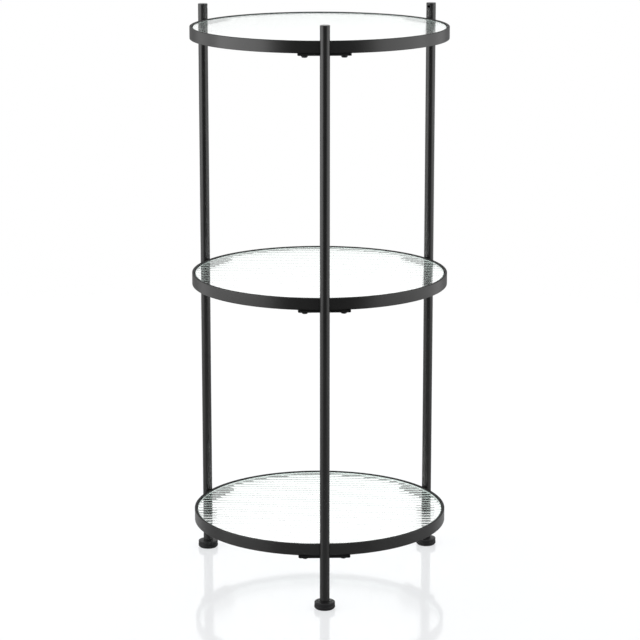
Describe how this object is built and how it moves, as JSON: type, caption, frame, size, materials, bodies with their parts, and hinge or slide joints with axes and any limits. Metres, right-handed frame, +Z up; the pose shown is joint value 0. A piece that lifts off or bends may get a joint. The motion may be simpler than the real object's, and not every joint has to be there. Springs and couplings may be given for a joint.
{
  "type": "tiered side table",
  "caption": "Tall round side table: slim black tube posts carry flat-bar hoops, each holding a clear reeded glass disc, on screw-in levelling feet.",
  "frame": {"origin": "centre of the footprint, on the floor under the feet", "axes": "+Z up; -Y towards the front post, +X to the right seen from the front; the hoops and glass discs share a vertical axis 9.5 mm behind the origin"},
  "size_m": [0.32, 0.339, 0.715],
  "materials": {
    "black_powder_coat": "satin black powder coat on steel",
    "black_steel": "black oxide",
    "reeded_glass": "polished on top, cast ribs underneath, ground edge",
    "clear_bumper": "clear soft polyurethane",
    "black_nylon": "fine-grained moulded nylon",
    "zinc_steel": "zinc plated"
  },
  "bodies": {
    "frame": {"hoop_bottom": "black_powder_coat", "glass_bumpers_bottom": "clear_bumper", "bracket_screws_bottom": "black_steel", "glass_tab_bottom_front": "black_powder_coat", "bracket_bottom_front": "black_powder_coat", "glass_tab_bottom_rear_right": "black_powder_coat", "bracket_bottom_rear_right": "black_powder_coat", "glass_tab_bottom_rear_left": "black_powder_coat", "bracket_bottom_rear_left": "black_powder_coat", "hoop_middle": "black_powder_coat", "glass_bumpers_middle": "clear_bumper", "bracket_screws_middle": "black_steel", "glass_tab_middle_front": "black_powder_coat", "bracket_middle_front": "black_powder_coat", "glass_tab_middle_rear_right": "black_powder_coat", "bracket_middle_rear_right": "black_powder_coat", "glass_tab_middle_rear_left": "black_powder_coat", "bracket_middle_rear_left": "black_powder_coat", "hoop_top": "black_powder_coat", "glass_bumpers_top": "clear_bumper", "bracket_screws_top": "black_steel", "glass_tab_top_front": "black_powder_coat", "bracket_top_front": "black_powder_coat", "glass_tab_top_rear_right": "black_powder_coat", "bracket_top_rear_right": "black_powder_coat", "glass_tab_top_rear_left": "black_powder_coat", "bracket_top_rear_left": "black_powder_coat", "post_front": "black_powder_coat", "post_cap_front": "black_powder_coat", "post_insert_front": "zinc_steel", "post_rear_right": "black_powder_coat", "post_cap_rear_right": "black_powder_coat", "post_insert_rear_right": "zinc_steel", "post_rear_left": "black_powder_coat", "post_cap_rear_left": "black_powder_coat", "post_insert_rear_left": "zinc_steel"},
    "foot_pad_front": {"foot_pad_front": "black_nylon"},
    "foot_screw_front": {"foot_wheel_front": "black_nylon", "foot_stem_front": "zinc_steel"},
    "foot_pad_rear_right": {"foot_pad_rear_right": "black_nylon"},
    "foot_screw_rear_right": {"foot_wheel_rear_right": "black_nylon", "foot_stem_rear_right": "zinc_steel"},
    "foot_pad_rear_left": {"foot_pad_rear_left": "black_nylon"},
    "foot_screw_rear_left": {"foot_wheel_rear_left": "black_nylon", "foot_stem_rear_left": "zinc_steel"},
    "glass_bottom": {"glass_bottom": "reeded_glass"},
    "glass_middle": {"glass_middle": "reeded_glass"},
    "glass_top": {"glass_top": "reeded_glass"}
  },
  "joints": [
    {"name": "foot_extend_front", "type": "slide", "parent": "frame", "child": "foot_pad_front", "axis": [0, 0, -1], "range_m": [0, 0.0081]},
    {"name": "foot_turn_front", "type": "hinge", "parent": "foot_pad_front", "child": "foot_screw_front", "pos_m": [0, -0.1567, 0], "axis": [0, 0, -1], "range_deg": [0, 2880]},
    {"name": "foot_extend_rear_right", "type": "slide", "parent": "frame", "child": "foot_pad_rear_right", "axis": [0, 0, -1], "range_m": [0, 0.0081]},
    {"name": "foot_turn_rear_right", "type": "hinge", "parent": "foot_pad_rear_right", "child": "foot_screw_rear_right", "pos_m": [0.14393, 0.0926, 0], "axis": [0, 0, -1], "range_deg": [0, 2880]},
    {"name": "foot_extend_rear_left", "type": "slide", "parent": "frame", "child": "foot_pad_rear_left", "axis": [0, 0, -1], "range_m": [0, 0.0081]},
    {"name": "foot_turn_rear_left", "type": "hinge", "parent": "foot_pad_rear_left", "child": "foot_screw_rear_left", "pos_m": [-0.14393, 0.0926, 0], "axis": [0, 0, -1], "range_deg": [0, 2880]},
    {"name": "glass_lift_bottom", "type": "slide", "parent": "frame", "child": "glass_bottom", "axis": [0, 0, 1], "range_m": [0, 0.285]},
    {"name": "glass_lift_middle", "type": "slide", "parent": "frame", "child": "glass_middle", "axis": [0, 0, 1], "range_m": [0, 0.285]},
    {"name": "glass_lift_top", "type": "slide", "parent": "frame", "child": "glass_top", "axis": [0, 0, 1], "range_m": [0, 0.06]}
  ],
  "couplings": [
    {"joint": "foot_extend_front", "follows": "foot_turn_front", "m_per_rad": 0.00015915},
    {"joint": "foot_extend_rear_right", "follows": "foot_turn_rear_right", "m_per_rad": 0.00015915},
    {"joint": "foot_extend_rear_left", "follows": "foot_turn_rear_left", "m_per_rad": 0.00015915}
  ]
}
